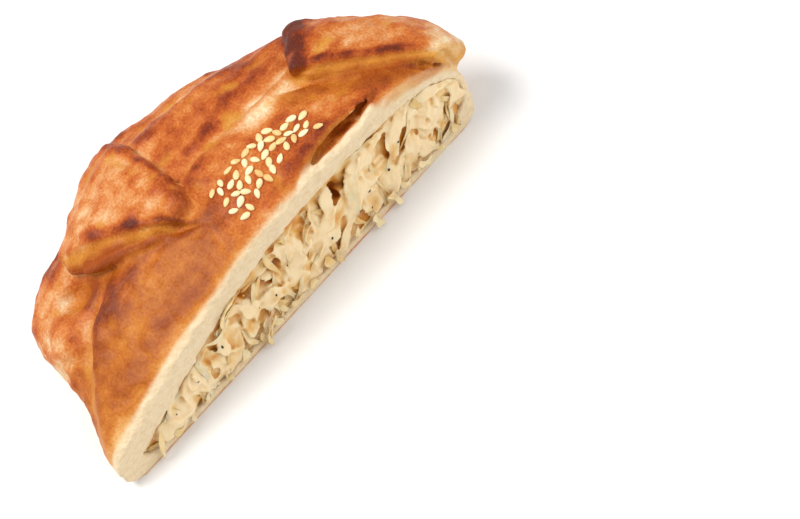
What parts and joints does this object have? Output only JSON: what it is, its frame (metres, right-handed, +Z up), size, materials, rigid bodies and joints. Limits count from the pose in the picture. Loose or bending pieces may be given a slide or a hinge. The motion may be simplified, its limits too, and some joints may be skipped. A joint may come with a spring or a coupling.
{
  "type": "cabbage pastry half",
  "caption": "Half of a round folded yeast pastry with sesame, cut through the middle, its stewed cabbage filling showing at the cut.",
  "frame": {"origin": "on the flat underside, 30 mm behind the middle of the cut line", "axes": "+Z up from the base it rests on, X along the cut, -Y out of the cut face"},
  "size_m": [0.1569, 0.0733, 0.0426],
  "materials": {
    "baked_dough": "baked glazed yeast dough, golden to red-brown, cream where cut",
    "stewed_cabbage": "moist stewed white cabbage strips, pale yellow, slightly glossy"
  },
  "bodies": {
    "root": {"crust": "baked_dough", "cabbage_filling": "stewed_cabbage"}
  },
  "joints": []
}
